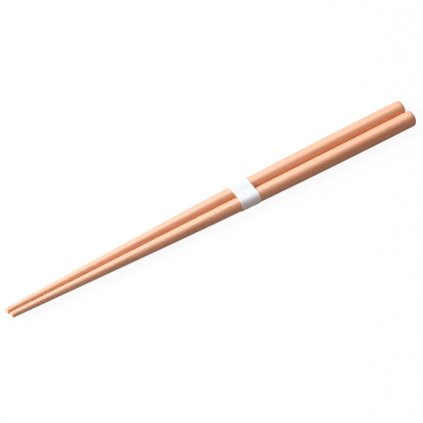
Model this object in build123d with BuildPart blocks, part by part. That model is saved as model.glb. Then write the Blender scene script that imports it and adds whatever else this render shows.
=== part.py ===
"""A pair of tapered wooden chopsticks lying side by side, held together by a glued paper band.

Millimetres. X runs along the sticks with the thick butt ends at +X, the front stick is on the -Y side,
and Z is up from the surface that the pair lies on.
"""
import os

from build123d import *

# Chopsticks
stick_length = 240.0
butt_side = 8.2  # side of the rounded square section at the thick end
tip_side = 3.0  # side of the section at the eating end
butt_flat = 1.0  # width of the flat left on each side between the rounded corners, at the butt
tip_flat = 0.4  # the same flat at the tip
grip_length = 12.0  # from the butt, before the taper starts
blend_length = 150.0  # over which the taper eases in
butt_edge_radius = 1.4
tip_edge_radius = 0.25
stick_gap = 0.3  # between the straight inner sides of the two sticks
butt_stagger = 0.85  # how far the front stick's butt stands out past the rear one's

# Paper band
paper_thickness = 0.18
band_width = 10.7
band_from_butt = 96.6  # from the front stick's butt to the band's nearer edge
band_clearance = 0.05  # between the paper and the sticks, at both edges of the band
lap_length = 6.0  # where the strip's ends overlap and are glued, on the underside
lap_ramp = 0.8  # over which the outer layer steps down onto the inner one

blend_steps = 10  # straight stretches that the eased part of the taper is cut into

taper_slope = (butt_side - tip_side) / (stick_length - grip_length - blend_length / 2)


def side_at(distance):
    """Side of a stick's section at a distance from its butt: level, then eased, then a straight taper."""
    past_grip = max(distance - grip_length, 0)
    if past_grip < blend_length:
        return butt_side - taper_slope * past_grip**2 / (2 * blend_length)
    return butt_side - taper_slope * (past_grip - blend_length / 2)


def corner_at(distance):
    """Corner radius of a stick's section at a distance from its butt."""
    side = side_at(distance)
    flat = tip_flat + (butt_flat - tip_flat) * (side - tip_side) / (butt_side - tip_side)
    return (side - flat) / 2


blend_stations = [grip_length + blend_length * step / blend_steps for step in range(blend_steps + 1)]
stations = [0, *blend_stations, stick_length]

# The rear stick is the thicker one across the pair, because its butt stands back from the front one's
band_edges = [band_from_butt, band_from_butt + band_width]
snug_sides = [side_at(edge - butt_stagger) for edge in band_edges]
snug_corners = [corner_at(edge - butt_stagger) for edge in band_edges]

# The lap's underside is the lowest face, so it sets the height of the sticks' straight axes
loop_floor = 2 * paper_thickness
axis_height = loop_floor + band_clearance + snug_sides[0] / 2
front_butt_x = (stick_length + butt_stagger) / 2
rear_butt_x = front_butt_x - butt_stagger

os.makedirs("parts", exist_ok=True)


def make_chopstick(label, hand, butt_x):
    """One stick: a loft of rounded squares whose inner sides all lie in one plane."""
    with BuildPart() as chopstick:
        for distance in stations:
            side = side_at(distance)
            with BuildSketch(Plane.YZ.offset(butt_x - distance)):
                with Locations((hand * (stick_gap + side) / 2, axis_height)):
                    RectangleRounded(side, side, corner_at(distance))
        loft(ruled=True)
        fillet(chopstick.faces().sort_by(Axis.X)[-1].edges(), butt_edge_radius)
        fillet(chopstick.faces().sort_by(Axis.X)[0].edges(), tip_edge_radius)
    chopstick.part.label = label
    export_step(chopstick.part, f"parts/{label}.step")


make_chopstick("front_chopstick", -1, front_butt_x)
make_chopstick("rear_chopstick", 1, rear_butt_x)

with BuildPart() as paper_band:
    # The loop narrows with the sticks on its top and sides, and its underside stays level
    for wall, mode in ((paper_thickness, Mode.ADD), (0, Mode.SUBTRACT)):
        for edge, side, corner in zip(band_edges, snug_sides, snug_corners):
            loop_width = 2 * (side + band_clearance) + stick_gap
            loop_height = axis_height + side / 2 + band_clearance - loop_floor
            with BuildSketch(Plane.YZ.offset(front_butt_x - edge)):
                with Locations((0, loop_floor + loop_height / 2)):
                    RectangleRounded(
                        loop_width + 2 * wall,
                        loop_height + 2 * wall,
                        corner + band_clearance + wall,
                    )
        loft(ruled=True, mode=mode)
    with BuildSketch(Plane.YZ.offset(front_butt_x - band_edges[1])):
        with BuildLine():
            Polyline(
                (-lap_length / 2, 0),
                (lap_length / 2, 0),
                (lap_length / 2 + lap_ramp, paper_thickness),
                (-lap_length / 2, paper_thickness),
                close=True,
            )
        make_face()
    extrude(amount=band_width)
paper_band.part.label = "paper_band"
export_step(paper_band.part, "parts/paper_band.step")
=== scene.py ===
"""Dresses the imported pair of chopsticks: two tapered wooden sticks, their paper band and a studio stage.

Metres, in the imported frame: X along the sticks towards the butts, the front stick on the -Y side, Z up.
"""
import math
from typing import NamedTuple

import bpy
from mathutils import Matrix, Vector


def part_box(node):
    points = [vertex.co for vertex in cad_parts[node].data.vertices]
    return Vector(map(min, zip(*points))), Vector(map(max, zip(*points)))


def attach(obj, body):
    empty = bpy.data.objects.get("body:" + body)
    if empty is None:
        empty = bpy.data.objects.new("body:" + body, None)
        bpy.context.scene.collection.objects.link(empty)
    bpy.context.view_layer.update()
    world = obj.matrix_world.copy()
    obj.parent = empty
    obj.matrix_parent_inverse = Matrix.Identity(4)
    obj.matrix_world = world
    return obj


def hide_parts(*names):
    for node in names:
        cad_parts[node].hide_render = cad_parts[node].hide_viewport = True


bl_info = {
    "name": "Banded chopsticks",
    "version": (1, 0, 0),
    "blender": (4, 5, 0),
    "location": "View3D > Sidebar > Chopsticks",
    "description": "Shapes a pair of wooden chopsticks, wraps their paper band and sets a studio stage",
    "category": "Object",
}

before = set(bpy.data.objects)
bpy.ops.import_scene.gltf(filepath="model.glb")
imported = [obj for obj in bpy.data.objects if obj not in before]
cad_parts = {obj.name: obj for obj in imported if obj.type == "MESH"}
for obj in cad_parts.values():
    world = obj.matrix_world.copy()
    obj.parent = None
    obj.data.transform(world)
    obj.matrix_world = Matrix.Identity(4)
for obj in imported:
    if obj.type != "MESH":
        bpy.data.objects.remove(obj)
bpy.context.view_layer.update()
FRONT_LOW, FRONT_HIGH = (Vector(corner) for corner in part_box("front_chopstick"))
REAR_LOW, REAR_HIGH = (Vector(corner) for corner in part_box("rear_chopstick"))
BAND_LOW, BAND_HIGH = (Vector(corner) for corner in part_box("paper_band"))


class Stick(NamedTuple):
    """What each stick of the pair has of its own."""

    name: str
    node: str
    hand: float  # -1 for the front stick, 1 for the rear one
    butt_x: float
    inner_y: float  # from the seam to the stick's straight inner side
    pith: tuple  # y and z of the trunk's centre, round which the growth rings lie
    drift: float  # how far the rings run sideways for each metre of the stick
    shift: float  # along the wood's pattern, so that each stick shows another stretch of it


STICKS = (
    Stick(
        name="front_stick",
        node="front_chopstick",
        hand=-1.0,
        butt_x=FRONT_HIGH.x,
        inner_y=-FRONT_HIGH.y,
        pith=(0.021, -0.016),
        drift=0.006,
        shift=0.31,
    ),
    Stick(
        name="rear_stick",
        node="rear_chopstick",
        hand=1.0,
        butt_x=REAR_HIGH.x,
        inner_y=REAR_LOW.y,
        pith=(-0.011, 0.027),
        drift=-0.009,
        shift=0.87,
    ),
)


class Softbox(NamedTuple):
    """One lamp of the stage."""

    direction: tuple  # from the pair
    brightness: float  # of a white surface that faces it
    width: float  # along the sticks
    height: float
    tint: tuple
    mirrored: bool  # whether it shows in glossy surfaces


WHITE = (1.0, 1.0, 1.0)
COOL = (0.85, 0.97, 1.0)
WARM = (1.0, 0.82, 0.765)
SOFTBOXES = {
    "raking_softbox": Softbox((-0.80, 0.386, 0.460), 1.17, 0.6, 0.5, COOL, mirrored=False),
    "tip_softbox": Softbox((-0.98, 0.14, 0.14), 0.52, 0.5, 0.5, COOL, mirrored=False),
    "strip_behind": Softbox((0.33, 0.581, 0.744), 0.36, 0.44, 2.2, COOL, mirrored=True),
    "top_fill": Softbox((-0.20, 0.0, 0.98), 0.17, 1.7, 1.7, WARM, mirrored=True),
    "front_fill": Softbox((-0.45, -0.85, 0.30), 0.21, 2.0, 2.0, WARM, mirrored=True),
}


class ChopstickSettings(bpy.types.PropertyGroup):
    """Sizes and colours of the two sticks."""

    length: bpy.props.FloatProperty(
        name="Length",
        description="From the butt to the tip",
        default=FRONT_HIGH.x - FRONT_LOW.x,
        unit="LENGTH",
    )
    butt_side: bpy.props.FloatProperty(
        name="Butt side",
        description="Side of the rounded square section at the thick end",
        default=FRONT_HIGH.z - FRONT_LOW.z,
        unit="LENGTH",
    )
    tip_side: bpy.props.FloatProperty(
        name="Tip side",
        description="Side of the section at the eating end",
        default=0.003,
        unit="LENGTH",
    )
    butt_flat: bpy.props.FloatProperty(
        name="Butt flat",
        description="Flat left on each side between the rounded corners, at the butt",
        default=0.001,
        unit="LENGTH",
    )
    tip_flat: bpy.props.FloatProperty(
        name="Tip flat",
        description="Flat left on each side between the rounded corners, at the tip",
        default=0.0004,
        unit="LENGTH",
    )
    grip_length: bpy.props.FloatProperty(
        name="Grip length",
        description="Straight stretch at the butt, before the taper starts",
        default=0.012,
        unit="LENGTH",
    )
    blend_length: bpy.props.FloatProperty(
        name="Blend length",
        description="Stretch over which the taper eases in",
        default=0.15,
        unit="LENGTH",
    )
    butt_edge: bpy.props.FloatProperty(
        name="Butt edge radius",
        description="Rounding of the edge of the butt's end face",
        default=0.0014,
        unit="LENGTH",
    )
    tip_edge: bpy.props.FloatProperty(
        name="Tip edge radius",
        description="Rounding of the edge of the tip's end face",
        default=0.00025,
        unit="LENGTH",
    )
    early_wood: bpy.props.FloatVectorProperty(
        name="Early wood",
        description="Colour of the pale, wide part of each growth ring",
        default=(0.955, 0.47, 0.28),
        subtype="COLOR",
        min=0.0,
        max=1.0,
    )
    late_wood: bpy.props.FloatVectorProperty(
        name="Late wood",
        description="Colour of the dense, narrow part of each growth ring",
        default=(0.82, 0.345, 0.18),
        subtype="COLOR",
        min=0.0,
        max=1.0,
    )
    ring_spacing: bpy.props.FloatProperty(
        name="Ring spacing",
        description="Distance between growth rings",
        default=0.0011,
        unit="LENGTH",
    )


class PaperBandSettings(bpy.types.PropertyGroup):
    """Sizes and colour of the paper band."""

    thickness: bpy.props.FloatProperty(
        name="Paper thickness",
        description="Thickness of the strip",
        default=0.00018,
        unit="LENGTH",
    )
    clearance: bpy.props.FloatProperty(
        name="Clearance",
        description="Between the strip's inner face and the sticks",
        default=0.00005,
        unit="LENGTH",
    )
    lap_length: bpy.props.FloatProperty(
        name="Lap length",
        description="Where the strip's ends overlap and are glued, on the underside",
        default=0.006,
        unit="LENGTH",
    )
    lap_ramp: bpy.props.FloatProperty(
        name="Lap ramp",
        description="Over which the outer layer steps down onto the inner one",
        default=0.0008,
        unit="LENGTH",
    )
    sag: bpy.props.FloatProperty(
        name="Sag",
        description="How far the strip dips into the groove between the sticks",
        default=0.00011,
        unit="LENGTH",
    )
    sag_reach: bpy.props.FloatProperty(
        name="Sag reach",
        description="Half the width of the dip",
        default=0.0029,
        unit="LENGTH",
    )
    colour: bpy.props.FloatVectorProperty(
        name="Paper",
        description="Colour of the plain paper",
        default=(0.94, 0.92, 0.935),
        subtype="COLOR",
        min=0.0,
        max=1.0,
    )


class StageSettings(bpy.types.PropertyGroup):
    """Camera, lamps and floor."""

    azimuth: bpy.props.FloatProperty(
        name="Camera azimuth",
        description="Turn of the camera about the vertical; 0 looks along +Y",
        default=math.radians(-32.687),
        subtype="ANGLE",
    )
    elevation: bpy.props.FloatProperty(
        name="Camera elevation",
        description="Height of the camera above the floor, as an angle",
        default=math.radians(51.772),
        subtype="ANGLE",
    )
    distance: bpy.props.FloatProperty(
        name="Camera distance",
        description="From the camera to the point that it looks at",
        default=1.5,
        unit="LENGTH",
    )
    lens: bpy.props.FloatProperty(
        name="Focal length",
        description="Focal length on a 36 mm sensor, in millimetres",
        default=251.39,
    )
    target: bpy.props.FloatVectorProperty(
        name="Camera target",
        description="Point at the centre of the picture",
        default=(-0.001071, 0.000157, 0.003662),
        subtype="TRANSLATION",
    )
    lamp_distance: bpy.props.FloatProperty(
        name="Lamp distance",
        description="From the pair to each softbox",
        default=2.4,
        unit="LENGTH",
    )
    lamp_level: bpy.props.FloatProperty(
        name="Lamp level",
        description="Brightness of all the softboxes together",
        default=1.0,
    )
    ambient: bpy.props.FloatProperty(
        name="Ambient level",
        description="Brightness of the light that comes from all around",
        default=0.09,
    )
    ambient_tint: bpy.props.FloatVectorProperty(
        name="Ambient tint",
        description="Colour of the light that comes from all around",
        default=WARM,
        subtype="COLOR",
        min=0.0,
        max=1.0,
    )
    floor_bounce: bpy.props.FloatVectorProperty(
        name="Floor bounce",
        description="Colour of the light that the floor throws back onto the pair",
        default=(0.32, 0.285, 0.27),
        subtype="COLOR",
        min=0.0,
        max=1.0,
    )


class Signal:
    """A node's output. Python's operators on it add Math nodes to the same tree."""

    def __init__(self, graph, socket):
        self.graph = graph
        self.socket = socket

    def __add__(self, other):
        return self.graph.math("ADD", self, other)

    def __radd__(self, other):
        return self.graph.math("ADD", other, self)

    def __sub__(self, other):
        return self.graph.math("SUBTRACT", self, other)

    def __rsub__(self, other):
        return self.graph.math("SUBTRACT", other, self)

    def __mul__(self, other):
        return self.graph.math("MULTIPLY", self, other)

    def __rmul__(self, other):
        return self.graph.math("MULTIPLY", other, self)

    def __truediv__(self, other):
        return self.graph.math("DIVIDE", self, other)

    def __rtruediv__(self, other):
        return self.graph.math("DIVIDE", other, self)

    def out(self, name):
        """Another output of the same node."""
        return Signal(self.graph, self.socket.node.outputs[name])


class Graph:
    """Adds nodes to one tree and hands their outputs back as Signals."""

    def __init__(self, tree):
        self.tree = tree

    def add(self, kind, settings=None, sockets=None, output=0):
        """One node: its type, its settings, which are set first, and the values or links of its sockets."""
        node = self.tree.nodes.new(kind)
        for name, value in (settings or {}).items():
            setattr(node, name, value)
        for key, value in (sockets or {}).items():
            if isinstance(value, Signal):
                self.tree.links.new(value.socket, node.inputs[key])
            else:
                node.inputs[key].default_value = value
        return Signal(self, node.outputs[output]) if node.outputs else None

    def math(self, operation, *values):
        """One Math node."""
        return self.add("ShaderNodeMath", {"operation": operation}, dict(enumerate(values)))

    def clamp(self, value, low=0.0, high=1.0):
        """The value, held between low and high."""
        return self.add("ShaderNodeClamp", None, {"Value": value, "Min": low, "Max": high})

    def smooth(self, value, start, end):
        """Rises smoothly from 0 at start to 1 at end."""
        settings = {"interpolation_type": "SMOOTHSTEP"}
        return self.add("ShaderNodeMapRange", settings, {"Value": value, "From Min": start, "From Max": end})

    def split(self, vector):
        """The three numbers of a vector or colour."""
        x = self.add("ShaderNodeSeparateXYZ", None, {0: vector})
        return x, x.out("Y"), x.out("Z")

    def join(self, x, y, z):
        """A vector, or a colour, of three numbers."""
        return self.add("ShaderNodeCombineXYZ", None, {"X": x, "Y": y, "Z": z})

    def stretch(self, vector, factors):
        """A vector whose numbers are each multiplied by a factor of their own."""
        return self.add("ShaderNodeVectorMath", {"operation": "MULTIPLY"}, {0: vector, 1: factors})

    def noise(self, vector, grains, detail, roughness=0.5):
        """Noise from 0 to 1, with this many grains to the metre along each axis."""
        sockets = {
            "Vector": self.stretch(vector, grains),
            "Scale": 1.0,
            "Detail": detail,
            "Roughness": roughness,
        }
        return self.add("ShaderNodeTexNoise", {"noise_dimensions": "3D"}, sockets)

    def mix(self, factor, first, second, blend="MIX"):
        """Mixes two colours. The node's colour sockets come after those for numbers and vectors."""
        settings = {"data_type": "RGBA", "blend_type": blend}
        return self.add("ShaderNodeMix", settings, {0: factor, 6: first, 7: second}, output=2)


def colour(values):
    """A colour as the four numbers that a colour socket takes."""
    return (*values, 1.0)


def new_material(name):
    """An empty node material, and a Graph on it."""
    material = bpy.data.materials.new(name)
    material.use_nodes = True
    material.node_tree.nodes.clear()
    return material, Graph(material.node_tree)


def finish_material(graph, surface):
    """Makes this shader the material's surface."""
    graph.add("ShaderNodeOutputMaterial", None, {"Surface": surface})


def straight_grained_wood(stick, settings):
    """Pale, straight-grained, sanded wood, whose rings and fibres run on into the end faces."""
    material, graph = new_material(f"{stick.name}_wood")
    place = graph.add("ShaderNodeTexCoord", output="Object")
    own = graph.add("ShaderNodeVectorMath", {"operation": "ADD"}, {0: place, 1: (stick.shift, 0.0, 0.0)})
    x, y, z = graph.split(place)

    def grain(along, across, detail, roughness=0.5):
        """Noise with this many grains to the metre along the stick and across it."""
        return graph.noise(own, (along, across, across), detail, roughness)

    # Growth rings: distance from the pith, with a slow wander along the stick
    wander = grain(along=9.0, across=90.0, detail=2.0) - 0.5
    wander_y, wander_z = 0.0016, 0.0007
    pith_y, pith_z = stick.pith
    ring_y = y - pith_y + x * stick.drift + wander * wander_y
    ring_z = z - pith_z + wander * wander_z
    radius = graph.math("SQRT", ring_y * ring_y + ring_z * ring_z) / settings.ring_spacing
    year = graph.math("FLOOR", radius)
    season = radius - year
    weakest_ring = 0.4
    chance = graph.add("ShaderNodeTexWhiteNoise", {"noise_dimensions": "1D"}, {"W": year})
    strength = chance * (1.0 - weakest_ring) + weakest_ring
    summer, autumn = 0.35, 0.95  # shares of the year at which late wood starts and is densest
    late = graph.smooth(season, summer, autumn) * (1.0 - graph.smooth(season, autumn, 1.0)) * strength

    # Long fibres, finer hairs, broader strands, short pores and slow changes of tone
    fibres = grain(along=55.0, across=3200.0, detail=3.0, roughness=0.6)
    hairs = grain(along=130.0, across=8000.0, detail=2.0)
    strands = grain(along=22.0, across=900.0, detail=2.0)
    pores_to_the_metre = (300.0, 4200.0, 4200.0)
    cells = graph.add(
        "ShaderNodeTexVoronoi",
        {"voronoi_dimensions": "3D", "feature": "F1"},
        {"Vector": graph.stretch(own, pores_to_the_metre), "Scale": 1.0, "Randomness": 1.0},
    )
    chosen = graph.split(cells.out("Color"))[0]
    pores = (1.0 - graph.smooth(cells, start=0.08, end=0.24)) * graph.smooth(chosen, start=0.40, end=0.70)
    tone = grain(along=14.0, across=130.0, detail=1.0)

    # The end faces cut across the fibres
    facing = graph.split(place.out("Normal"))[0]
    end_grain = graph.smooth(graph.math("ABSOLUTE", facing), start=0.45, end=0.90)

    # How much of its full colour late wood takes, and how much darker pores and end grain are
    late_share, pore_dark, end_dark = 0.70, 0.22, 0.22
    rings = graph.clamp(late * late_share)
    ring_colour = graph.mix(rings, colour(settings.early_wood), colour(settings.late_wood))
    streak = 0.66 + fibres * 0.30 + hairs * 0.26 + strands * 0.12
    patch = 0.95 + tone * 0.10
    shade = streak * patch * (1.0 - pores * pore_dark) * (1.0 - end_grain * end_dark)

    # Painted shade: the sides that lie against each other are drawn darker, most of all near the butts, for
    # the shadow in the narrow groove between the sticks
    tip_share = graph.smooth(x, FRONT_HIGH.x, FRONT_LOW.x)
    seam = 1.0 - graph.smooth(graph.math("ABSOLUTE", y), start=0.00025, end=0.00055)
    butt_seam_shadow, tip_seam_shadow = 0.20, 0.04
    # painted shadow in the groove, strongest at the butts and faint at the tips
    shade = shade * (1.0 - seam * (butt_seam_shadow - tip_share * (butt_seam_shadow - tip_seam_shadow)))

    # Painted light: from the butts to the tips the wood is drawn paler, for light that falls paler towards
    # the tips; its green rises, and its blue about twice as much
    butt_light_tint, tip_light_tint = 0.94, 1.06
    pale = butt_light_tint + tip_share * (tip_light_tint - butt_light_tint)
    # grain tones, with the painted seam shadow and the painted paling towards the tips
    tones_and_painted_light = graph.join(shade, shade * pale, shade * pale * pale)
    base = graph.mix(1.0, ring_colour, tones_and_painted_light, "MULTIPLY")

    roughness = 0.35 + fibres * 0.10 - late * 0.05 + end_grain * 0.45
    relief = fibres * 0.5 + hairs * 0.4 + late * 0.4 - pores * 0.9
    bump = graph.add("ShaderNodeBump", None, {"Strength": 0.40, "Distance": 0.00004, "Height": relief})
    surface = graph.add(
        "ShaderNodeBsdfPrincipled",
        None,
        {
            "Base Color": base,
            "Roughness": graph.clamp(roughness),
            "IOR": 1.52,
            "Specular IOR Level": 1.0,
            "Normal": bump,
        },
    )
    finish_material(graph, surface)
    return material


def plain_paper(name, settings):
    """White uncoated paper with faint fibres and mottling."""
    material, graph = new_material(name)
    place = graph.add("ShaderNodeTexCoord", output="Object")
    mottle = graph.noise(place, grains=(420.0, 420.0, 420.0), detail=3.0)
    cloud = graph.noise(place, grains=(110.0, 110.0, 110.0), detail=1.0)
    tangle = graph.noise(place, grains=(2600.0, 3400.0, 3400.0), detail=4.0, roughness=0.65)
    shade = 0.915 + mottle * 0.05 + cloud * 0.04 + tangle * 0.08
    base = graph.mix(1.0, colour(settings.colour), graph.join(shade, shade, shade), "MULTIPLY")
    roughness = 0.68 + tangle * 0.16
    relief = tangle + mottle
    bump = graph.add("ShaderNodeBump", None, {"Strength": 0.60, "Distance": 0.00003, "Height": relief})
    surface = graph.add(
        "ShaderNodeBsdfPrincipled",
        {"subsurface_method": "RANDOM_WALK"},
        {
            "Base Color": base,
            "Roughness": graph.clamp(roughness),
            "IOR": 1.45,
            "Specular IOR Level": 0.3,
            "Subsurface Weight": 0.10,
            "Subsurface Radius": (1.0, 0.95, 0.9),
            "Subsurface Scale": 0.0003,
            "Normal": bump,
        },
    )
    finish_material(graph, surface)
    return material


def shape_tree(name, inputs):
    """A new Geometry Nodes tree with these named inputs: its Graph, and the inputs as Signals."""
    tree = bpy.data.node_groups.new(name, "GeometryNodeTree")
    tree.interface.new_socket("Geometry", in_out="OUTPUT", socket_type="NodeSocketGeometry")
    for label in inputs:
        kind = "NodeSocketMaterial" if label == "Material" else "NodeSocketFloat"
        tree.interface.new_socket(label, in_out="INPUT", socket_type=kind)
    graph = Graph(tree)
    source = graph.add("NodeGroupInput")
    return graph, {label: source.out(label) for label in inputs}


def formula_surface(graph, rows, columns):
    """A grid of faces, with the row and column that each of its points has."""
    sockets = {"Size X": 1.0, "Size Y": 1.0, "Vertices X": rows + 1, "Vertices Y": columns + 1}
    grid = graph.add("GeometryNodeMeshGrid", None, sockets, output="Mesh")
    u, v, _ = graph.split(graph.add("GeometryNodeInputPosition"))
    return grid, (u + 0.5) * rows, (v + 0.5) * columns


def close_surface(graph, surface, position, material, crease):
    """Puts the grid's points in place, joins its seam and poles, and keeps edges past the crease sharp."""
    merge_distance = 2e-7
    placed = graph.add("GeometryNodeSetPosition", None, {"Geometry": surface, "Position": position})
    joined = graph.add(
        "GeometryNodeMergeByDistance", None, {"Geometry": placed, "Distance": merge_distance}
    )
    smooth = graph.add(
        "GeometryNodeSetShadeSmooth",
        {"domain": "FACE"},
        {"Geometry": joined, "Shade Smooth": True},
    )
    folded = graph.math("GREATER_THAN", graph.add("GeometryNodeInputMeshEdgeAngle"), crease)
    sharp = graph.add(
        "GeometryNodeSetShadeSmooth",
        {"domain": "EDGE"},
        {"Geometry": smooth, "Selection": folded, "Shade Smooth": False},
    )
    real = graph.add("GeometryNodeRealizeInstances", None, {"Geometry": sharp})
    dressed = graph.add("GeometryNodeSetMaterial", None, {"Geometry": real, "Material": material})
    graph.add("NodeGroupOutput", None, {"Geometry": dressed})


def stick_tree():
    """Geometry Nodes for a stick: rounded squares along an eased taper, one side straight, ends rounded."""
    graph, given = shape_tree(
        "Tapered stick",
        (
            "Length",
            "Butt side",
            "Tip side",
            "Butt flat",
            "Tip flat",
            "Grip length",
            "Blend length",
            "Butt edge radius",
            "Tip edge radius",
            "Butt X",
            "Inner side Y",
            "Hand",
            "Axis height",
            "Material",
        ),
    )
    cap, edge, body = 6, 8, 160  # rings of an end face, of its rounded edge, and between the two ends
    arc, flat_steps = 14, 4  # steps round a corner and along a flat
    surface, ring, step = formula_surface(graph, 2 * (cap + edge) + body, 4 * (arc + flat_steps))

    # Along the stick: end face, rounded edge, body, rounded edge, end face
    spread = graph.clamp(ring / cap) * (1.0 - graph.clamp((ring - (cap + 2 * edge + body)) / cap))
    butt_turn = graph.clamp((ring - cap) / edge) * (math.pi / 2)
    run = graph.clamp((ring - (cap + edge)) / body)
    tip_turn = graph.clamp((ring - (cap + edge + body)) / edge) * (math.pi / 2)
    butt_edge, tip_edge = given["Butt edge radius"], given["Tip edge radius"]
    distance = (
        butt_edge * (1.0 - graph.math("COSINE", butt_turn))
        + run * (given["Length"] - butt_edge - tip_edge)
        + tip_edge * graph.math("SINE", tip_turn)
    )
    butt_inset = butt_edge * (1.0 - graph.math("SINE", butt_turn))
    tip_inset = tip_edge * (1.0 - graph.math("COSINE", tip_turn))

    # The section there: straight, then a parabola, then a straight taper
    blend = given["Blend length"]
    fall = given["Butt side"] - given["Tip side"]
    slope = fall / (given["Length"] - given["Grip length"] - blend / 2)
    past = graph.math("MAXIMUM", distance - given["Grip length"], 0.0)
    eased = graph.math("MINIMUM", past, blend)
    side = given["Butt side"] - slope * (eased * eased / (blend * 2) + past - eased)
    thickness_share = (side - given["Tip side"]) / fall
    flat = given["Tip flat"] + (given["Butt flat"] - given["Tip flat"]) * thickness_share
    corner = (side - flat) / 2 - (butt_inset + tip_inset)

    # Round the section: four corner arcs, each followed by a flat
    quarter = graph.math("FLOOR", step / (arc + flat_steps))
    within = step - quarter * (arc + flat_steps)
    angle = (quarter + graph.clamp(within / arc)) * (math.pi / 2)
    passed = quarter + graph.clamp((within - arc) / flat_steps)

    def arc_centre(far_side):
        """The arcs' centre along one axis, as it goes round a square as wide as the flat.

        far_side is how many flats are passed in the middle of the square's negative side on that axis.
        """
        return graph.clamp(graph.math("ABSOLUTE", passed - far_side) * 2 - 2, -1.0, 1.0) * flat / 2

    out_y = spread * (arc_centre(far_side=1.5) + corner * graph.math("COSINE", angle))
    out_z = spread * (arc_centre(far_side=2.5) + corner * graph.math("SINE", angle))
    position = graph.join(
        given["Butt X"] - distance,
        given["Hand"] * (given["Inner side Y"] + side / 2) + out_y,
        given["Axis height"] + out_z,
    )
    close_surface(graph, surface, position, given["Material"], crease=math.radians(60))
    return graph.tree


def band_tree():
    """Geometry Nodes for the band: a strip that starts under the sticks, goes round and laps its start."""
    graph, given = shape_tree(
        "Lapped paper strip",
        (
            "Tip edge X",
            "Width",
            "Thickness",
            "Tip loop width",
            "Butt loop width",
            "Tip loop height",
            "Butt loop height",
            "Tip corner radius",
            "Butt corner radius",
            "Loop floor",
            "Lap length",
            "Lap ramp",
            "Sag",
            "Sag reach",
            "Material",
        ),
    )
    flats, corners = 5, 4  # the underside is passed twice
    flat_steps, arc, wide = 48, 20, 14  # steps along a flat and round a corner, and across the strip's width
    run = flats * flat_steps + corners * arc
    surface, row, step = formula_surface(graph, run + 2, 2 * wide + 2)
    full = graph.clamp(row) * graph.clamp(run + 2 - row)  # 0 on the two rows that close the strip's cut ends
    way = graph.clamp((row - 1) / run) * run

    # Across the strip: outer face, cut edge, inner face, cut edge
    width_share = graph.clamp(step / wide) - graph.clamp((step - (wide + 1)) / wide)
    outer = 1.0 - graph.clamp(step - wide) + graph.clamp(step - (2 * wide + 1))

    def across(size):
        """A size of the loop, which narrows with the sticks, at this point of the strip's width."""
        return given[f"Tip {size}"] + (given[f"Butt {size}"] - given[f"Tip {size}"]) * width_share

    loop_width, loop_height, corner = across("loop width"), across("loop height"), across("corner radius")

    # Along the strip: a flat, then a corner, and so on. It starts on the underside, half a lap behind the
    # middle, and goes towards the front stick
    leg = graph.math("MINIMUM", graph.math("FLOOR", way / (flat_steps + arc)), corners)
    within = way - leg * (flat_steps + arc)
    flat_part = leg + graph.clamp(within / flat_steps)
    turned = (leg + graph.clamp((within - flat_steps) / arc)) * (math.pi / 2)
    normal = turned * -1.0 - math.pi / 2
    half_wide = loop_width / 2 - corner
    half_high = loop_height / 2 - corner
    half_lap = given["Lap length"] / 2
    last_leg = half_wide - (half_wide + half_lap) * graph.clamp(flat_part - 4)
    centre_y = (
        half_lap
        - (half_lap + half_wide) * graph.clamp(flat_part)
        + half_wide * 2 * graph.clamp(flat_part - 2)
        + last_leg
        - half_wide
    )
    centre_z = half_high * (graph.clamp(flat_part - 1) * 2 - graph.clamp(flat_part - 3) * 2 - 1)
    lapped = graph.smooth(last_leg, half_lap + given["Lap ramp"], half_lap) * given["Thickness"]
    lift = lapped + given["Thickness"] * (0.5 + (outer - 0.5) * full)

    # On the top, the third flat, the strip dips a little into the groove between the sticks
    on_top = graph.math("GREATER_THAN", flat_part, 1.5) * graph.math("LESS_THAN", flat_part, 3.5)
    off_centre = graph.clamp(graph.math("ABSOLUTE", centre_y) / given["Sag reach"])
    hollow = 1.0 - off_centre * off_centre
    dip = on_top * given["Sag"] * hollow * hollow

    reach = corner + lift
    position = graph.join(
        given["Tip edge X"] + given["Width"] * width_share,
        centre_y + reach * graph.math("COSINE", normal),
        given["Loop floor"] + loop_height / 2 + centre_z + reach * graph.math("SINE", normal) - dip,
    )
    outwards = graph.add("GeometryNodeFlipFaces", None, {"Mesh": surface})
    close_surface(graph, outwards, position, given["Material"], crease=math.radians(40))
    return graph.tree


def plain_mesh(name, tree, values):
    """Runs a tree on a new object at the origin and leaves the result as a plain mesh."""
    piece = bpy.data.objects.new(name, bpy.data.meshes.new(name))
    bpy.context.scene.collection.objects.link(piece)
    modifier = piece.modifiers.new("Shape", "NODES")
    modifier.node_group = tree
    for socket in tree.interface.items_tree:
        if socket.in_out == "INPUT":
            modifier[socket.identifier] = values[socket.name]
    depsgraph = bpy.context.evaluated_depsgraph_get()
    mesh = bpy.data.meshes.new_from_object(piece.evaluated_get(depsgraph), depsgraph=depsgraph)
    piece.modifiers.remove(modifier)
    piece.data = mesh
    if not mesh.polygons:
        raise RuntimeError(f"{name} came out empty")
    return piece


def side_at(settings, distance):
    """Side of a stick's section at a distance from its butt: level, then eased, then a straight taper."""
    past = max(distance - settings.grip_length, 0.0)
    eased = min(past, settings.blend_length)
    slope = (settings.butt_side - settings.tip_side) / (
        settings.length - settings.grip_length - settings.blend_length / 2
    )
    return settings.butt_side - slope * (eased * eased / (2 * settings.blend_length) + past - eased)


def corner_at(settings, distance):
    """Corner radius of a stick's section at a distance from its butt."""
    side = side_at(settings, distance)
    thickness_share = (side - settings.tip_side) / (settings.butt_side - settings.tip_side)
    flat = settings.tip_flat + (settings.butt_flat - settings.tip_flat) * thickness_share
    return (side - flat) / 2


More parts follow.
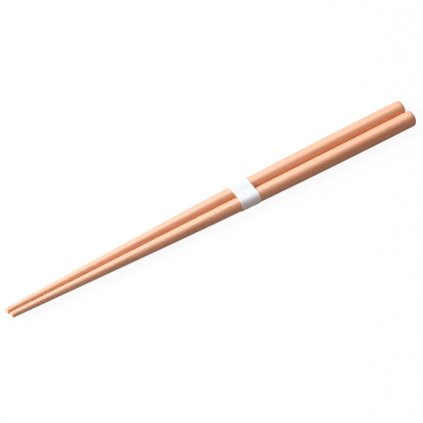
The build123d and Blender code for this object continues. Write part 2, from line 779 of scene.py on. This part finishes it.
class CHOPSTICKS_OT_shape_sticks(bpy.types.Operator):
    """Shape the front and the rear stick in straight-grained wood"""

    bl_idname = "chopsticks.shape_sticks"
    bl_label = "Shape the sticks"

    def execute(self, context):
        settings = context.scene.chopstick_settings
        tree = stick_tree()
        for stick in STICKS:
            piece = plain_mesh(
                stick.name,
                tree,
                {
                    "Length": settings.length,
                    "Butt side": settings.butt_side,
                    "Tip side": settings.tip_side,
                    "Butt flat": settings.butt_flat,
                    "Tip flat": settings.tip_flat,
                    "Grip length": settings.grip_length,
                    "Blend length": settings.blend_length,
                    "Butt edge radius": settings.butt_edge,
                    "Tip edge radius": settings.tip_edge,
                    "Butt X": stick.butt_x,
                    "Inner side Y": stick.inner_y,
                    "Hand": stick.hand,
                    "Axis height": (FRONT_LOW.z + FRONT_HIGH.z) / 2,
                    "Material": straight_grained_wood(stick, settings),
                },
            )
            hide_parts(stick.node)
            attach(piece, "root")
        return {"FINISHED"}


class CHOPSTICKS_OT_wrap_band(bpy.types.Operator):
    """Wrap the paper band round both sticks and lap its ends on the underside"""

    bl_idname = "chopsticks.wrap_band"
    bl_label = "Wrap the band"

    def execute(self, context):
        settings = context.scene.paper_band_settings
        sticks = context.scene.chopstick_settings
        floor = BAND_LOW.z + 2 * settings.thickness
        axis_height = (REAR_LOW.z + REAR_HIGH.z) / 2
        values = {
            "Tip edge X": BAND_LOW.x,
            "Width": BAND_HIGH.x - BAND_LOW.x,
            "Thickness": settings.thickness,
            "Loop floor": floor,
            "Lap length": settings.lap_length,
            "Lap ramp": settings.lap_ramp,
            "Sag": settings.sag,
            "Sag reach": settings.sag_reach,
            "Material": plain_paper("band_paper", settings),
        }
        for end, edge_x in (("Tip", BAND_LOW.x), ("Butt", BAND_HIGH.x)):
            distance = REAR_HIGH.x - edge_x
            side = side_at(sticks, distance)
            values[f"{end} loop width"] = 2 * (side + settings.clearance) + REAR_LOW.y - FRONT_HIGH.y
            values[f"{end} loop height"] = axis_height + side / 2 + settings.clearance - floor
            values[f"{end} corner radius"] = corner_at(sticks, distance) + settings.clearance
        piece = plain_mesh("lapped_band", band_tree(), values)
        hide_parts("paper_band")
        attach(piece, "root")
        return {"FINISHED"}


def shows_background(graph, back, front_limit, back_limit):
    """1 for the rays that show the white background, which hangs behind the pair and sweeps under it.

    The camera sees it all round. Mirrored rays and rays through something clear see it where back, a place
    or a direction along Y, is past the limits; the room in front stays dim.
    """
    seen = graph.add("ShaderNodeLightPath", output="Is Camera Ray")
    passed_on = graph.math("MAXIMUM", seen.out("Is Glossy Ray"), seen.out("Is Transmission Ray"))
    return graph.math("MAXIMUM", seen, passed_on * graph.smooth(back, front_limit, back_limit))


def floor_material(settings):
    """Pale floor: white where it is seen, with a faint shadow, and a soft grey where it throws light back."""
    material, graph = new_material("pale_floor")
    shadow_share = 0.06
    matt_white = (0.95, 0.95, 0.95)
    glow = graph.add("ShaderNodeEmission", None, {"Color": colour(WHITE), "Strength": 1.0})
    matt = graph.add("ShaderNodeBsdfDiffuse", None, {"Color": colour(matt_white)})
    shown = graph.add("ShaderNodeMixShader", None, {0: shadow_share, 1: glow, 2: matt})
    bounce = graph.add("ShaderNodeBsdfDiffuse", None, {"Color": colour(settings.floor_bounce)})
    back = graph.split(graph.add("ShaderNodeTexCoord", output="Object"))[1]
    white = shows_background(graph, back, front_limit=0.0, back_limit=0.02)
    finish_material(graph, graph.add("ShaderNodeMixShader", None, {0: white, 1: bounce, 2: shown}))
    return material


def lay_floor(scene, settings):
    """A wide square floor under the pair."""
    half = 3.0
    sheet = bpy.data.meshes.new("floor")
    corners = [(-half, -half, 0.0), (half, -half, 0.0), (half, half, 0.0), (-half, half, 0.0)]
    sheet.from_pydata(corners, [], [(0, 1, 2, 3)])
    sheet.materials.append(floor_material(settings))
    floor = bpy.data.objects.new("floor", sheet)
    scene.collection.objects.link(floor)


def light_surroundings(scene, settings):
    """A world that is white where it shows as the background, and elsewhere a dim light from all around."""
    world = bpy.data.worlds.new("studio")
    world.use_nodes = True
    world.node_tree.nodes.clear()
    graph = Graph(world.node_tree)
    back = graph.split(graph.add("ShaderNodeTexCoord", output="Generated"))[1]
    white = shows_background(graph, back, front_limit=-0.2, back_limit=0.3)
    level = white * (1.0 - settings.ambient) + settings.ambient
    tint = graph.mix(white, colour(settings.ambient_tint), colour(WHITE))
    sky = graph.add("ShaderNodeBackground", None, {"Color": tint, "Strength": level})
    graph.add("ShaderNodeOutputWorld", None, {"Surface": sky})
    scene.world = world


def hang_softbox(scene, settings, name, softbox):
    """An area lamp that faces the pair, with its width along the sticks."""
    towards = Vector(softbox.direction).normalized()
    along = (Vector((1.0, 0.0, 0.0)) - towards * towards.x).normalized()
    turn = Matrix((along, towards.cross(along), towards)).transposed()
    lamp = bpy.data.lights.new(name, "AREA")
    lamp.shape = "RECTANGLE"
    lamp.color = softbox.tint
    lamp.size = softbox.width
    lamp.size_y = softbox.height
    # The watts that give a white surface at that distance, facing the lamp, its brightness
    lamp.energy = softbox.brightness * settings.lamp_level * (math.pi * settings.lamp_distance) ** 2
    holder = bpy.data.objects.new(name, lamp)
    holder.location = towards * settings.lamp_distance
    holder.rotation_euler = turn.to_euler()
    holder.visible_glossy = softbox.mirrored
    scene.collection.objects.link(holder)


def aim_camera(scene, settings):
    """A camera that looks at the target from its azimuth, elevation and distance."""
    lens = bpy.data.cameras.new("camera")
    lens.lens = settings.lens
    lens.sensor_width = 36.0
    lens.clip_start = 0.05
    lens.clip_end = 20.0
    level_share = math.cos(settings.elevation)
    towards_camera = Vector(
        (
            math.sin(settings.azimuth) * level_share,
            -math.cos(settings.azimuth) * level_share,
            math.sin(settings.elevation),
        )
    )
    camera = bpy.data.objects.new("camera", lens)
    camera.location = Vector(settings.target) + towards_camera * settings.distance
    camera.rotation_euler = towards_camera.to_track_quat("Z", "Y").to_euler()
    scene.collection.objects.link(camera)
    scene.camera = camera


class CHOPSTICKS_OT_set_stage(bpy.types.Operator):
    """Set the floor, the studio light and the camera"""

    bl_idname = "chopsticks.set_stage"
    bl_label = "Set the stage"

    def execute(self, context):
        scene = context.scene
        settings = scene.chopstick_stage_settings
        scene.view_settings.view_transform = "Standard"
        lay_floor(scene, settings)
        light_surroundings(scene, settings)
        for name, softbox in SOFTBOXES.items():
            hang_softbox(scene, settings, name, softbox)
        aim_camera(scene, settings)
        return {"FINISHED"}


class CHOPSTICKS_PT_sidebar(bpy.types.Panel):
    """Lists the steps and their settings"""

    bl_idname = "CHOPSTICKS_PT_sidebar"
    bl_label = "Banded chopsticks"
    bl_space_type = "VIEW_3D"
    bl_region_type = "UI"
    bl_category = "Chopsticks"

    def draw(self, context):
        for step, owner in STEPS:
            column = self.layout.column(align=True)
            column.operator(step)
            settings = getattr(context.scene, owner)
            for name in settings.__annotations__:
                column.prop(settings, name)


STEPS = (
    (CHOPSTICKS_OT_shape_sticks.bl_idname, "chopstick_settings"),
    (CHOPSTICKS_OT_wrap_band.bl_idname, "paper_band_settings"),
    (CHOPSTICKS_OT_set_stage.bl_idname, "chopstick_stage_settings"),
)
OWNERS = {
    "chopstick_settings": ChopstickSettings,
    "paper_band_settings": PaperBandSettings,
    "chopstick_stage_settings": StageSettings,
}
CLASSES = (
    *OWNERS.values(),
    CHOPSTICKS_OT_shape_sticks,
    CHOPSTICKS_OT_wrap_band,
    CHOPSTICKS_OT_set_stage,
    CHOPSTICKS_PT_sidebar,
)


def register():
    for cls in CLASSES:
        bpy.utils.register_class(cls)
    for owner, group in OWNERS.items():
        setattr(bpy.types.Scene, owner, bpy.props.PointerProperty(type=group))


def unregister():
    for owner in OWNERS:
        delattr(bpy.types.Scene, owner)
    for cls in reversed(CLASSES):
        bpy.utils.unregister_class(cls)


def main():
    register()
    bpy.ops.chopsticks.shape_sticks()
    bpy.ops.chopsticks.wrap_band()
    bpy.ops.chopsticks.set_stage()


if __name__ == "__main__":
    main()
